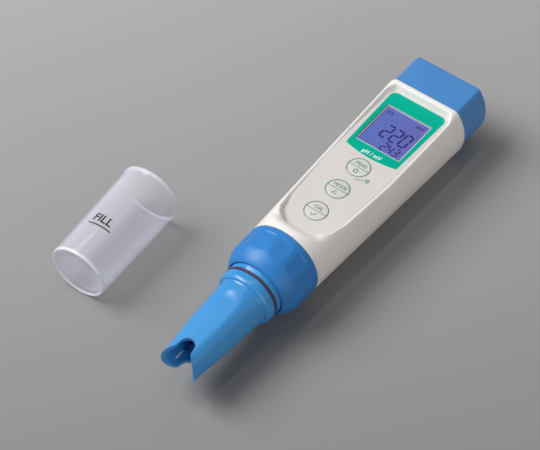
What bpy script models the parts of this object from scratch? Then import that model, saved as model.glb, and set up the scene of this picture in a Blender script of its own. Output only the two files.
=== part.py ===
"""Pocket redox and pH meter with its measuring cup, lying on its back.

+Y runs along the meter from the probe to the top cover, +X across it and +Z out of its front.
The origin is on the flat back, halfway along the housing.
"""
import math

import bmesh
import bpy

MM = 0.001

# Driving dimensions, in metres. Heights are above the meter's long axis unless a name says otherwise.
AXIS_HEIGHT = 17.5 * MM          # the long axis above the table
HOUSING_TOP = 47.0 * MM
HOUSING_END = -48.0 * MM
RADIUS_TOP = 20.0 * MM
RADIUS_END = 16.65 * MM
FRONT = 12.8 * MM                # the front flat of the housing
BACK = AXIS_HEIGHT               # the flat that it lies on
WALL = 1.5 * MM
GAP = 0.3 * MM                   # clearance between pieces that touch

POCKET_FLOOR = 9.2 * MM
POCKET_TOP = 44.3 * MM
POCKET_END = -40.2 * MM
CEILING = 8.0 * MM               # inside face of the pocket's floor
OVERLAY_LOW = 9.4 * MM
OVERLAY_TOP = 9.8 * MM

KEY_Y = (0.5 * MM, -13.6 * MM, -27.7 * MM)
KEY_RADIUS = 5.0 * MM
KEY_HOLE = 5.3 * MM
WINDOW_X = 11.1 * MM             # half width of the display opening
WINDOW_Y = (12.6 * MM, 35.8 * MM)

RING_TOP = -48.35 * MM
RING_END = -66.6 * MM
RING_BORE = 14.8 * MM
SPIGOT_RADIUS = 14.3 * MM
SPIGOT_BORE = 12.3 * MM
SPIGOT_END = -60.0 * MM
COLLAR_RADIUS = 12.4 * MM
TIP = -114.5 * MM
TUBE_BORE = 6.6 * MM

COVER_END = 64.0 * MM
COVER_INSET = 0.7 * MM           # how far the cover stands in from the housing's outside
SKIRT_INSET = 1.5 * MM
SKIRT_END = 40.9 * MM
SHELF = 45.2 * MM

CELL_RADIUS = 5.15 * MM
CELL_PLACES = ((-11.3 * MM, 0.1 * MM), (-5.75 * MM, -9.55 * MM),
               (5.75 * MM, -9.55 * MM), (11.3 * MM, 0.1 * MM))
CELL_LOW = 8.3 * MM
CELL_HIGH = 52.8 * MM

BOARD_LOW = 3.4 * MM
BOARD_HIGH = 4.4 * MM
SCREW_PLACES = ((-10.3 * MM, 1.8 * MM), (10.3 * MM, 1.8 * MM), (-10.3 * MM, -35.5 * MM), (10.3 * MM, -35.5 * MM))

CUP_FOOT = (-61.9 * MM, -99.7 * MM)
CUP_LENGTH = 48.7 * MM
CUP_MOUTH_RADIUS = 13.7 * MM
CUP_END_RADIUS = 12.5 * MM
CUP_TURN = math.radians(3.53)     # how far the lying cup is turned away from the meter's line
CUP_TILT = math.atan((CUP_MOUTH_RADIUS - CUP_END_RADIUS) / CUP_LENGTH)
CUP_WALL = 1.0 * MM

SECTION_POINTS = 40
ROUND_STEPS = 40
FRONT_SOFT = 2.0 * MM            # how widely the front flat's edges are rounded
BACK_SOFT = 0.4 * MM

COLOURS = {                      # red, green, blue, roughness, metallic
    "white_abs": (0.80, 0.78, 0.75, 0.35, 0.0),
    "blue_cover": (0.05, 0.26, 0.66, 0.4, 0.0),
    "blue_ring": (0.03, 0.20, 0.60, 0.4, 0.0),
    "blue_probe": (0.10, 0.38, 0.74, 0.4, 0.0),
    "green_label": (0.0, 0.43, 0.32, 0.4, 0.0),
    "clear_lens": (0.80, 0.85, 0.90, 0.1, 0.0),
    "pale_frame": (0.70, 0.66, 0.74, 0.5, 0.0),
    "display": (0.14, 0.15, 0.50, 0.2, 0.0),
    "milky": (0.85, 0.88, 0.90, 0.5, 0.0),
    "board_green": (0.02, 0.22, 0.08, 0.5, 0.0),
    "chip_black": (0.02, 0.02, 0.02, 0.5, 0.0),
    "steel": (0.55, 0.55, 0.56, 0.3, 1.0),
    "cell_sleeve": (0.05, 0.05, 0.06, 0.3, 0.4),
    "grey_plastic": (0.35, 0.36, 0.38, 0.5, 0.0),
    "red_rubber": (0.22, 0.06, 0.05, 0.5, 0.0),
    "black_rubber": (0.02, 0.02, 0.02, 0.7, 0.0),
    "glass": (0.75, 0.80, 0.85, 0.05, 0.0),
    "platinum": (0.80, 0.80, 0.78, 0.2, 1.0),
    "ceramic": (0.85, 0.84, 0.80, 0.8, 0.0),
    "holder_blue": (0.01, 0.05, 0.22, 0.5, 0.0),
    "clear_cup": (0.78, 0.80, 0.90, 0.1, 0.0),
}


def clear_scene():
    for item in list(bpy.data.objects):
        bpy.data.objects.remove(item, do_unlink=True)


def collection(name, hidden=False):
    group = bpy.data.collections.new(name)
    bpy.context.scene.collection.children.link(group)
    group.hide_render = hidden
    return group


def material(name):
    found = bpy.data.materials.get(name)
    if found:
        return found
    red, green, blue, roughness, metallic = COLOURS[name]
    made = bpy.data.materials.new(name)
    made.use_nodes = True
    shader = made.node_tree.nodes["Principled BSDF"]
    shader.inputs["Base Color"].default_value = (red, green, blue, 1.0)
    shader.inputs["Roughness"].default_value = roughness
    shader.inputs["Metallic"].default_value = metallic
    made.diffuse_color = (red, green, blue, 1.0)
    return made


def place(name, mesh, finish=None):
    """Link a mesh as a part with its finish, or as a hidden cutter when it has none."""
    item = bpy.data.objects.new(name, mesh)
    (PARTS if finish else CUTTERS).objects.link(item)
    if finish:
        mesh.materials.append(material(finish))
    else:
        item.hide_render = True
        item.display_type = "WIRE"
    return item


def smooth(mesh):
    mesh.shade_smooth()
    mesh.set_sharp_from_angle(angle=math.radians(35))


def apply_shape(item):
    """The welded mesh of an object as it is evaluated."""
    graph = bpy.context.evaluated_depsgraph_get()
    mesh = bpy.data.meshes.new_from_object(item.evaluated_get(graph))
    shape = bmesh.new()
    shape.from_mesh(mesh)
    bmesh.ops.remove_doubles(shape, verts=shape.verts, dist=0.00001)
    shape.to_mesh(mesh)
    shape.free()
    mesh.name = item.name
    return mesh


def combine(item, operation, others):
    for other in others:
        step = item.modifiers.new(operation.lower() + "_" + other.name, "BOOLEAN")
        step.operation = operation
        step.object = other
        step.solver = "EXACT"


def cut(item, *cutters):
    combine(item, "DIFFERENCE", cutters)


def join(item, *pieces):
    combine(item, "UNION", pieces)


def turned(name, profile, finish=None, at=(0.0, 0.0), steps=ROUND_STEPS):
    """Spin (radius, y) points, listed from the top end down the outside, about a line along Y."""
    mesh = bpy.data.meshes.new(name)
    closed = profile[0][0] > 0 and profile[-1][0] > 0
    count = len(profile)
    edges = [(i, (i + 1) % count) for i in range(count if closed else count - 1)]
    mesh.from_pydata([(radius, 0.0, y) for radius, y in profile], edges, [])
    item = place(name, mesh, finish)
    item.location = (at[0], 0.0, AXIS_HEIGHT + at[1])
    item.rotation_euler = (-math.pi / 2, 0.0, 0.0)
    spin = item.modifiers.new("spin", "SCREW")
    spin.axis = "Z"
    spin.angle = 2 * math.pi
    spin.steps = spin.render_steps = steps
    spin.use_merge_vertices = True
    spin.merge_threshold = 0.00001
    spin.use_smooth_shade = False
    return item


def rod(name, radius, low, high, finish=None, at=(0.0, 0.0), steps=24):
    return turned(name, [(0.0, high), (radius, high), (radius, low), (0.0, low)], finish, at, steps)


def pillar(name, radius, low, high, at, finish=None, steps=24):
    """A cylinder standing along Z, between two heights above the axis."""
    mesh = bpy.data.meshes.new(name)
    shape = bmesh.new()
    bmesh.ops.create_cone(shape, cap_ends=True, segments=steps, radius1=radius, radius2=radius,
                          depth=high - low)
    shape.to_mesh(mesh)
    shape.free()
    item = place(name, mesh, finish)
    item.location = (at[0], at[1], AXIS_HEIGHT + (low + high) / 2)
    return item


def block(name, low, high, finish=None, bevel=0.0):
    """A box between two corners, with heights above the axis."""
    mesh = bpy.data.meshes.new(name)
    shape = bmesh.new()
    bmesh.ops.create_cube(shape, size=1.0)
    bmesh.ops.scale(shape, vec=[high[i] - low[i] for i in range(3)], verts=shape.verts)
    shape.to_mesh(mesh)
    shape.free()
    item = place(name, mesh, finish)
    item.location = [(low[i] + high[i]) / 2 + (AXIS_HEIGHT if i == 2 else 0.0) for i in range(3)]
    if bevel:
        edge = item.modifiers.new("edge", "BEVEL")
        edge.width = bevel
        edge.segments = 2
    return item


def arc(centre, radius, start, end, count):
    """Points of an arc, with angles in degrees from +X towards +Y."""
    angles = [math.radians(start + (end - start) * i / count) for i in range(count + 1)]
    return [(centre[0] + radius * math.cos(a), centre[1] + radius * math.sin(a)) for a in angles]


def rounded(corners, count=6):
    """An outline from (x, y, radius) corners, anticlockwise, with each corner turned by an arc."""
    points = []
    total = len(corners)
    for i, (x, y, radius) in enumerate(corners):
        before = corners[i - 1]
        after = corners[(i + 1) % total]
        back = math.atan2(before[1] - y, before[0] - x)
        ahead = math.atan2(after[1] - y, after[0] - x)
        turn = (back - ahead) % (2 * math.pi)
        if radius == 0.0:
            points.append((x, y))
            continue
        reach = radius / math.sin(turn / 2)
        middle = ahead + turn / 2
        centre = (x + reach * math.cos(middle), y + reach * math.sin(middle))
        start = math.degrees(back) + 90.0
        sweep = 180.0 - math.degrees(turn)
        points += arc(centre, radius, start, start + sweep, count)
    return points


def mirrored(right):
    """Close an outline from its right half, listed from the bottom centre to the top centre."""
    left = [(-x, y) for x, y in reversed(right) if abs(x) > 1e-9]
    return right + left


def plate(name, loops, low, high, finish=None):
    """A flat plate from an outline and its holes, between two heights above the axis."""
    curve = bpy.data.curves.new(name, "CURVE")
    curve.dimensions = "2D"
    curve.fill_mode = "BOTH"
    curve.extrude = (high - low) / 2
    for loop in loops:
        spline = curve.splines.new("POLY")
        spline.points.add(len(loop) - 1)
        spline.use_cyclic_u = True
        for point, (x, y) in zip(spline.points, loop):
            point.co = (x, y, 0.0, 1.0)
    drawn = bpy.data.objects.new(name, curve)
    bpy.context.scene.collection.objects.link(drawn)
    drawn.location = (0.0, 0.0, AXIS_HEIGHT + (low + high) / 2)
    bpy.context.view_layer.update()
    mesh = apply_shape(drawn)
    location = drawn.location.copy()
    bpy.data.objects.remove(drawn, do_unlink=True)
    bpy.data.curves.remove(curve)
    item = place(name, mesh, finish)
    item.location = location
    return item


def soft_limit(value, limit, soft):
    """The smaller of two heights, blended near where they meet so that the edge is rounded."""
    blend = max(soft - abs(value - limit), 0.0) / soft
    return min(value, limit) - blend * blend * soft / 4


def section(radius, front, back):
    """A round section with its front and back cut flat."""
    points = []
    for i in range(SECTION_POINTS):
        turn = 2 * math.pi * i / SECTION_POINTS
        height = soft_limit(radius * math.cos(turn), front, FRONT_SOFT)
        points.append((radius * math.sin(turn), -soft_limit(-height, back, BACK_SOFT)))
    return points


def body_radius(y):
    share = (y - HOUSING_END) / (HOUSING_TOP - HOUSING_END)
    return RADIUS_END + (RADIUS_TOP - RADIUS_END) * share


def body_front(y):
    """The front flat fades into the full round just above the screw ring."""
    share = min(max((y - HOUSING_END) / (8.5 * MM), 0.0), 1.0)
    ease = share * share * (3 - 2 * share)
    return FRONT + (RADIUS_END + FRONT_SOFT - FRONT) * (1 - ease)


def body_section(y, inset, front=None):
    return section(body_radius(y) - inset, body_front(y) - inset if front is None else front, BACK - inset)


def loft(name, stations, finish=None):
    """A closed solid through (y, section) stations along the axis."""
    shape = bmesh.new()
    rings = [[shape.verts.new((x, y, AXIS_HEIGHT + z)) for x, z in outline] for y, outline in stations]
    for near, far in zip(rings, rings[1:]):
        for i in range(len(near)):
            j = (i + 1) % len(near)
            shape.faces.new((near[i], near[j], far[j], far[i]))
    shape.faces.new(rings[0])
    shape.faces.new(rings[-1])
    bmesh.ops.recalc_face_normals(shape, faces=shape.faces)
    mesh = bpy.data.meshes.new(name)
    shape.to_mesh(mesh)
    shape.free()
    return place(name, mesh, finish)


def hollow(name, low, high, inset, front=None, step=16.0 * MM):
    """A cutter for the space inside the housing, between two places along it."""
    count = max(1, round((high - low) / step))
    places = [low + (high - low) * i / count for i in range(count + 1)]
    return loft(name, [(y, body_section(y, inset, front)) for y in places])


def pocket_outline(margin):
    """The recess in the front, drawn in by a margin."""
    side = [(14.4 * MM - margin, 42.0 * MM), (14.2 * MM - margin, 0.0), (12.3 * MM - margin, -27.0 * MM)]
    bottom = arc((0.0, POCKET_END + margin + 12.0 * MM), 12.0 * MM, -90.0, -28.0, 8)
    top = arc((11.9 * MM - margin, POCKET_TOP - margin - 2.5 * MM), 2.5 * MM, 0.0, 90.0, 5)
    right = bottom + list(reversed(side[1:])) + top + [(0.0, POCKET_TOP - margin)]
    return mirrored(right)


def label_edge(offset):
    """The label's bowed lower edge, from left to right."""
    half = 12.3 * MM
    corner = 8.75 * MM + offset
    sag = 1.6 * MM
    return [(half * t, corner - sag * (1 - t * t)) for t in (-1.0, -0.75, -0.5, -0.25, 0.0, 0.25, 0.5, 0.75, 1.0)]


def circle(x, y, radius, count=28):
    return arc((x, y), radius, 0.0, 360.0 * (count - 1) / count, count - 1)


def rectangle(half, low, high, radius):
    corners = [(-half, low, radius), (half, low, radius), (half, high, radius), (-half, high, radius)]
    return rounded(corners, 3)


def make_housing():
    low_places = [HOUSING_END + i * 2.1 * MM for i in range(5)]
    places = low_places + [-6.0 * MM, HOUSING_TOP]
    housing = loft("housing", [(y, body_section(y, 0.0)) for y in places], "white_abs")
    spigot = rod("join_spigot", SPIGOT_RADIUS, SPIGOT_END, HOUSING_END + 1.0 * MM, steps=ROUND_STEPS)
    join(housing, spigot)
    cut(housing,
        hollow("cut_cavity", -40.0 * MM, 38.5 * MM, WALL, CEILING),
        hollow("cut_ledge", 38.0 * MM, 40.5 * MM, 2.3 * MM, CEILING),
        hollow("cut_skirt_socket", 40.0 * MM, 45.4 * MM, 1.2 * MM, CEILING),
        hollow("cut_rim_socket", SHELF - 0.3 * MM, HOUSING_TOP + 1.0 * MM, 1.2 * MM),
        plate("cut_pocket", [pocket_outline(0.0)], POCKET_FLOOR, 25.0 * MM),
        plate("cut_window", [rectangle(WINDOW_X, *WINDOW_Y, 0.6 * MM)], 6.0 * MM, 12.0 * MM),
        rod("cut_spigot_bore", SPIGOT_BORE, SPIGOT_END - 1.0 * MM, -45.0 * MM, steps=ROUND_STEPS),
        block("cut_socket", (-6.0 * MM, -46.0 * MM, -2.5 * MM), (6.0 * MM, -39.0 * MM, 2.5 * MM)))
    for number, y in enumerate(KEY_Y, 1):
        cut(housing, pillar(f"cut_key_{number}", KEY_HOLE, 6.0 * MM, 12.0 * MM, (0.0, y), steps=32))
    for number, (x, y) in enumerate(SCREW_PLACES, 1):
        boss = pillar(f"join_boss_{number}", 1.9 * MM, BOARD_HIGH + 0.2 * MM, CEILING + 0.5 * MM, (x, y), steps=16)
        pilot = pillar(f"cut_pilot_{number}", 0.95 * MM, BOARD_HIGH, CEILING - 0.4 * MM, (x, y), steps=12)
        join(housing, boss)
        cut(housing, pilot)


def make_front():
    outline = [(13.3 * MM, 40.6 * MM)] + arc((10.7 * MM, 40.6 * MM), 2.6 * MM, 0.0, 90.0, 6)
    top = outline + [(-x, y) for x, y in reversed(outline)]
    opening = rectangle(WINDOW_X, *WINDOW_Y, 0.6 * MM)
    plate("label_bezel", [label_edge(0.0) + top[1:-1] + [(-13.3 * MM, 40.6 * MM)], opening],
          OVERLAY_LOW, OVERLAY_TOP, "green_label")

    lower = [point for point in pocket_outline(0.35 * MM) if point[1] < 6.0 * MM]
    right = [point for point in lower if point[0] >= 0.0]
    left = [point for point in lower if point[0] < 0.0]
    upper = [(-x, y) for x, y in label_edge(-GAP)]
    shoulder = 13.4 * MM
    overlay = right + [(shoulder, 8.3 * MM)] + upper + [(-shoulder, 8.3 * MM)] + left
    plate("keypad_overlay", [overlay] + [circle(0.0, y, KEY_HOLE) for y in KEY_Y],
          OVERLAY_LOW, OVERLAY_TOP, "white_abs")

    names = ("key_measure", "key_mode", "key_calibrate")
    for number, (name, y) in enumerate(zip(names, KEY_Y), 1):
        cap = pillar(name, KEY_RADIUS, 7.4 * MM, OVERLAY_TOP + 0.05 * MM, (0.0, y), "white_abs", 32)
        flange = pillar(f"join_key_flange_{number}", 5.9 * MM, 6.9 * MM, 7.6 * MM, (0.0, y), steps=24)
        nub = pillar(f"join_key_nub_{number}", 1.5 * MM, 6.5 * MM, 7.0 * MM, (0.0, y), steps=12)
        join(cap, flange, nub)
        base = block(f"key_switch_{number}", (-3.0 * MM, y - 3.0 * MM, BOARD_HIGH + 0.2 * MM),
                     (3.0 * MM, y + 3.0 * MM, 5.3 * MM), "chip_black")
        join(base, pillar(f"join_plunger_{number}", 1.6 * MM, 5.2 * MM, 5.9 * MM, (0.0, y), steps=12))


def make_display():
    low, high = WINDOW_Y
    plate("display_window", [rectangle(WINDOW_X - 0.3 * MM, low + GAP, high - GAP, 0.4 * MM)],
          9.25 * MM, 9.7 * MM, "clear_lens")
    plate("display_frame", [rectangle(WINDOW_X - 0.25 * MM, low + 0.25 * MM, high - 0.25 * MM, 0.4 * MM),
                            rectangle(10.3 * MM, low + 0.8 * MM, high - 0.8 * MM, 0.3 * MM)],
          8.05 * MM, 9.05 * MM, "pale_frame")
    block("lcd_glass", (-12.2 * MM, 10.8 * MM, 7.0 * MM), (12.2 * MM, 37.2 * MM, 7.8 * MM), "display")
    block("backlight_panel", (-11.8 * MM, 11.2 * MM, 6.35 * MM), (11.8 * MM, 36.8 * MM, 6.85 * MM), "milky")
    block("display_board", (-13.0 * MM, 8.4 * MM, 5.6 * MM), (13.0 * MM, 38.0 * MM, 6.2 * MM), "board_green")


def make_electronics():
    outline = rectangle(12.5 * MM, -37.9 * MM, 4.0 * MM, 1.5 * MM)
    holes = [circle(x, y, 1.15 * MM, 12) for x, y in SCREW_PLACES]
    plate("main_board", [outline] + holes, BOARD_LOW, BOARD_HIGH, "board_green")
    for number, (x, y) in enumerate(SCREW_PLACES, 1):
        screw = pillar(f"board_screw_{number}", 0.75 * MM, 2.5 * MM, 7.3 * MM, (x, y), "steel", 12)
        join(screw, pillar(f"join_screw_head_{number}", 1.75 * MM, 2.0 * MM, 3.2 * MM, (x, y), steps=16))
    block("processor_chip", (-5.0 * MM, -19.0 * MM, 1.7 * MM), (5.0 * MM, -9.0 * MM, 3.2 * MM), "chip_black",
          0.3 * MM)
    block("input_amplifier", (-2.5 * MM, -31.0 * MM, 1.9 * MM), (2.5 * MM, -27.0 * MM, 3.2 * MM), "chip_black",
          0.3 * MM)
    pillar("buzzer", 4.2 * MM, 0.4 * MM, 3.2 * MM, (-5.5 * MM, -2.5 * MM), "chip_black")
    block("ribbon_cable", (-5.0 * MM, 3.8 * MM, 4.75 * MM), (5.0 * MM, 8.2 * MM, 5.25 * MM), "milky")
    socket = block("electrode_socket", (-5.6 * MM, -44.6 * MM, -2.1 * MM), (5.6 * MM, -39.0 * MM, 2.1 * MM),
                   "chip_black")
    join(socket, block("join_socket_flange", (-7.5 * MM, -39.6 * MM, -3.2 * MM),
                       (7.5 * MM, -38.3 * MM, 3.0 * MM)))
    cut(socket, block("cut_socket_slot", (-4.4 * MM, -45.5 * MM, -1.0 * MM), (4.4 * MM, -40.2 * MM, 1.0 * MM)))


def make_batteries():
    clip_high = 4.6 * MM
    cage = rod("battery_cage", 12.0 * MM, CELL_LOW + 0.2 * MM, 52.2 * MM, "grey_plastic", steps=32)
    cut(cage, block("cut_cage_top", (-15.0 * MM, 0.0, clip_high), (15.0 * MM, 60.0 * MM, 15.0 * MM)))
    board = rod("battery_contact_board", 16.4 * MM, 4.6 * MM, 5.6 * MM, "board_green", steps=ROUND_STEPS)
    cut(board, block("cut_contact_board_top", (-18.0 * MM, 4.0 * MM, clip_high), (18.0 * MM, 6.0 * MM, 18.0 * MM)),
        block("cut_contact_board_back", (-18.0 * MM, 4.0 * MM, -18.0 * MM), (18.0 * MM, 6.0 * MM, -15.4 * MM)))
    for number, at in enumerate(CELL_PLACES, 1):
        cut(cage, rod(f"cut_cell_bore_{number}", CELL_RADIUS + 0.2 * MM, 0.0, 60.0 * MM, at=at, steps=20))
        nub = 1.9 * MM
        turned(f"battery_cell_{number}",
               [(0.0, CELL_HIGH), (nub, CELL_HIGH), (nub, CELL_HIGH - 0.9 * MM),
                (CELL_RADIUS - 0.5 * MM, CELL_HIGH - 0.9 * MM), (CELL_RADIUS, CELL_HIGH - 1.4 * MM),
                (CELL_RADIUS, CELL_LOW + 0.5 * MM), (CELL_RADIUS - 0.5 * MM, CELL_LOW), (0.0, CELL_LOW)],
               "cell_sleeve", at, 20)
        turned(f"battery_spring_{number}",
               [(0.0, 8.0 * MM), (1.6 * MM, 8.0 * MM), (3.6 * MM, 5.9 * MM), (0.0, 5.9 * MM)], "steel", at, 16)
    outline = section(16.1 * MM, 9.4 * MM, 14.7 * MM)
    loft("contact_carrier", [(53.5 * MM, outline), (55.3 * MM, outline)], "grey_plastic")
    for side, name in ((-1, "carrier_contact_left"), (1, "carrier_contact_right")):
        edges = sorted((side * 3.5 * MM, side * 12.0 * MM))
        block(name, (edges[0], 52.95 * MM, -10.5 * MM), (edges[1], 53.3 * MM, 3.5 * MM), "steel")


def cover_section(y, inset, front=None):
    radius = body_radius(min(y, HOUSING_TOP)) - inset
    height = FRONT - inset if front is None else front
    return section(radius, height, BACK - inset)


def make_cover():
    skirt_front = CEILING - GAP
    shoulder = HOUSING_TOP + GAP
    cover = loft("top_cover", [(SKIRT_END, cover_section(SKIRT_END, SKIRT_INSET, skirt_front)),
                               (SHELF, cover_section(SHELF, SKIRT_INSET, skirt_front)),
                               (SHELF + 0.4 * MM, cover_section(SHELF, SKIRT_INSET)),
                               (shoulder, cover_section(shoulder, SKIRT_INSET)),
                               (shoulder, cover_section(shoulder, COVER_INSET)),
                               (COVER_END - 1.2 * MM, cover_section(COVER_END, COVER_INSET)),
                               (COVER_END - 0.4 * MM, cover_section(COVER_END, COVER_INSET + 0.35 * MM)),
                               (COVER_END, cover_section(COVER_END, COVER_INSET + 1.2 * MM))], "blue_cover")
    thin = SKIRT_INSET + 0.9 * MM
    low_front = skirt_front - 1.0 * MM
    cut(cover, loft("cut_cover", [(SKIRT_END - 1.0 * MM, cover_section(SKIRT_END, thin, low_front)),
                                  (SHELF + 1.0 * MM, cover_section(SHELF, thin, low_front)),
                                  (SHELF + 1.5 * MM, cover_section(SHELF, thin)),
                                  (COVER_END - 1.5 * MM, cover_section(COVER_END, thin))]))
    seal = loft("cover_seal", [(y, body_section(y, 1.5 * MM, skirt_front)) for y in (40.3 * MM, 40.7 * MM)],
                "black_rubber")
    inside = [(y, body_section(y, 2.3 * MM, skirt_front - 0.8 * MM)) for y in (40.0 * MM, 41.2 * MM)]
    cut(seal, loft("cut_cover_seal", inside))


def make_ring():
    ring = turned("screw_ring", [(RING_BORE, RING_TOP), (16.3 * MM, RING_TOP), (16.65 * MM, RING_TOP - 0.4 * MM),
                                 (16.65 * MM, -59.2 * MM), (16.3 * MM, -61.0 * MM), (15.75 * MM, -62.6 * MM),
                                 (15.1 * MM, -64.1 * MM), (14.2 * MM, -65.5 * MM), (13.4 * MM, RING_END),
                                 (12.75 * MM, RING_END),
                                 (12.75 * MM, -63.3 * MM), (RING_BORE, -63.3 * MM)], "blue_ring", steps=48)
    flats = turned("cut_ring_flats", [(20.0 * MM, -51.2 * MM), (20.0 * MM, -61.6 * MM), (17.15 * MM, -61.6 * MM),
                                      (16.96 * MM, -60.8 * MM), (16.96 * MM, -52.0 * MM),
                                      (17.15 * MM, -51.2 * MM)], steps=12)
    cut(ring, flats)


def make_electrode():
    shoulder = [(COLLAR_RADIUS - 1.5 * MM + 1.5 * MM * math.cos(math.radians(a)),
                 -72.2 * MM - 2.2 * MM * math.sin(math.radians(a))) for a in (0, 30, 60, 90)]
    profile = [(8.5 * MM, -50.5 * MM), (11.9 * MM, -50.5 * MM), (11.9 * MM, -52.5 * MM), (10.8 * MM, -52.5 * MM),
               (10.8 * MM, -54.7 * MM), (11.9 * MM, -54.7 * MM), (11.9 * MM, -60.3 * MM),
               (SPIGOT_RADIUS, -60.3 * MM), (SPIGOT_RADIUS, -62.9 * MM), (COLLAR_RADIUS, -62.9 * MM),
               (COLLAR_RADIUS, -68.5 * MM), (11.45 * MM, -68.5 * MM), (11.45 * MM, -70.1 * MM),
               (COLLAR_RADIUS, -70.1 * MM)]
    profile += shoulder
    profile += [(10.65 * MM, -75.5 * MM), (9.6 * MM, -95.0 * MM), (8.4 * MM, -107.0 * MM), (7.9 * MM, TIP),
                (TUBE_BORE, TIP), (TUBE_BORE, -58.0 * MM), (8.5 * MM, -56.2 * MM)]
    body = turned("electrode_body", profile, "blue_probe")
    right = arc((0.0, -107.7 * MM), 3.2 * MM, 0.0, 90.0, 6)
    right += [(3.5 * MM, -109.7 * MM), (5.2 * MM, -111.6 * MM), (7.2 * MM, -113.2 * MM), (8.6 * MM, -114.2 * MM),
              (12.0 * MM, -116.0 * MM)]
    right = sorted(right, key=lambda point: point[1])
    notch = plate("cut_notch", [mirrored([(0.0, -116.0 * MM)] + right)], -14.0 * MM, 14.0 * MM)
    cut(body, notch)

    plug = rod("electrode_connector", 8.1 * MM, -55.6 * MM, -50.8 * MM, "chip_black", steps=32)
    join(plug, block("join_plug_blade", (-4.0 * MM, -51.5 * MM, -0.6 * MM), (4.0 * MM, -41.2 * MM, 0.6 * MM)))
    turned("reference_tube", [(5.2 * MM, -58.4 * MM), (6.2 * MM, -58.4 * MM), (6.2 * MM, -99.5 * MM),
                              (5.2 * MM, -99.5 * MM)], "glass", steps=28)
    stem = (-2.2 * MM, 2.0 * MM)
    junction = (1.6 * MM, -2.6 * MM)
    holder = rod("sensor_holder", 6.3 * MM, -102.6 * MM, -99.9 * MM, "holder_blue", steps=32)
    cut(holder, rod("cut_stem_hole", 1.0 * MM, -104.0 * MM, -99.0 * MM, at=stem, steps=16),
        rod("cut_junction_hole", 1.4 * MM, -104.0 * MM, -99.0 * MM, at=junction, steps=16))
    rod("sensor_stem", 0.7 * MM, -106.9 * MM, -98.0 * MM, "glass", stem, 16)
    rod("platinum_pin", 0.35 * MM, -111.4 * MM, -107.1 * MM, "platinum", stem, 12)
    rod("reference_junction", 1.1 * MM, -103.0 * MM, -99.6 * MM, "ceramic", junction, 16)
    rod("signal_wire", 0.4 * MM, -97.7 * MM, -56.2 * MM, "platinum", stem, 10)
    o_ring("probe_o_ring", 12.2 * MM, 0.45 * MM, -69.3 * MM, "red_rubber")
    o_ring("plug_o_ring", 11.45 * MM, 0.55 * MM, -53.6 * MM, "black_rubber")


def o_ring(name, middle, thick, y, finish):
    count = 8
    turns = [2 * math.pi * i / count for i in range(count)]
    turned(name, [(middle + thick * math.cos(a), y - thick * math.sin(a)) for a in turns], finish, steps=32)


def make_cup():
    """The cup lies on its tapered side, so its axis rises towards the mouth."""
    mouth = CUP_LENGTH
    inner_mouth = CUP_MOUTH_RADIUS - CUP_WALL
    inner_end = CUP_END_RADIUS - CUP_WALL
    cup = turned("measuring_cup",
                 [(inner_mouth + 0.3 * MM, mouth), (CUP_MOUTH_RADIUS, mouth),
                  (CUP_MOUTH_RADIUS, mouth - 1.2 * MM), (CUP_MOUTH_RADIUS - 0.25 * MM, mouth - 1.5 * MM),
                  (CUP_END_RADIUS + 0.05 * MM, 0.8 * MM), (CUP_END_RADIUS - 0.2 * MM, 0.0),
                  (CUP_END_RADIUS - 0.9 * MM, 0.0), (CUP_END_RADIUS - 1.2 * MM, 0.4 * MM),
                  (0.0, 0.4 * MM), (0.0, 1.5 * MM), (inner_end, 1.5 * MM), (inner_mouth, mouth - 2.0 * MM)],
                 "clear_cup")
    cup.location = (CUP_FOOT[0], CUP_FOOT[1], CUP_END_RADIUS * math.cos(CUP_TILT))
    cup.rotation_euler = (CUP_TILT - math.pi / 2, 0.0, CUP_TURN)


clear_scene()
PARTS = collection("pocket_meter")
CUTTERS = collection("cutters", hidden=True)
make_housing()
make_front()
make_display()
make_electronics()
make_batteries()
make_cover()
make_ring()
make_electrode()
make_cup()
for part in PARTS.objects:
    smooth(part.data)
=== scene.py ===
"""A pocket redox and pH meter on its back, with its clear measuring cup lying beside it.

Lengths are in millimetres until a mesh is made. +Y runs from the probe to the battery cover.
"""
import math

import bmesh
import bpy
import numpy as np
from mathutils import Euler, Matrix


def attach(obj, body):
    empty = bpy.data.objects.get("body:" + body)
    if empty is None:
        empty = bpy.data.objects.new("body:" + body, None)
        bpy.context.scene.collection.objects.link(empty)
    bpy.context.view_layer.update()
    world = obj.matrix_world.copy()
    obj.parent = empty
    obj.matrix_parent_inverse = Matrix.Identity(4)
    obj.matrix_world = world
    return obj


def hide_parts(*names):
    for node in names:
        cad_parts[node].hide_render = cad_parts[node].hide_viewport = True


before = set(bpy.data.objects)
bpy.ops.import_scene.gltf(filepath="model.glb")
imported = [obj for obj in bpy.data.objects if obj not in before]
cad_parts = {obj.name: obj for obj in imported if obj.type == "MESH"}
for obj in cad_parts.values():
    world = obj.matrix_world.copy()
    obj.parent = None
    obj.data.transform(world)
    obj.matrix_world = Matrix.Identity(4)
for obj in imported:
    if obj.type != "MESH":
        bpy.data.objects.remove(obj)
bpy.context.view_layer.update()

MM = 0.001
AXIS = 17.5                       # the meter's long axis above the table
BODY_END, BODY_TOP = -48.0, 47.0
END_RADIUS, TOP_RADIUS = 16.65, 20.0
FRONT = 12.8                      # the front flat above the axis
FRONT_FADE = 8.5                  # the length over which the flat fades into the round end
FRONT_SOFT, BACK_SOFT, COVER_SOFT = 2.0, 0.4, 0.8
RECESS_FLOOR, RECESS_TOP, RECESS_END = 9.2, 44.3, -40.2
CEILING = 8.0
FILM_TOP = 9.78
LABEL_TOP = 9.83
KEY_Y = {"key_measure": 0.5, "key_mode": -13.6, "key_calibrate": -27.7}
KEY_BODY = {"key_measure": "measure_button", "key_mode": "mode_button", "key_calibrate": "calibrate_button"}
KEY_TOP = 9.86
KEY_RADIUS, KEY_GAP = 4.98, 0.1
KEY_LINE = 4.75                   # the printed ring on a key
INK = 0.05                        # how thick a printed line stands
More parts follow.
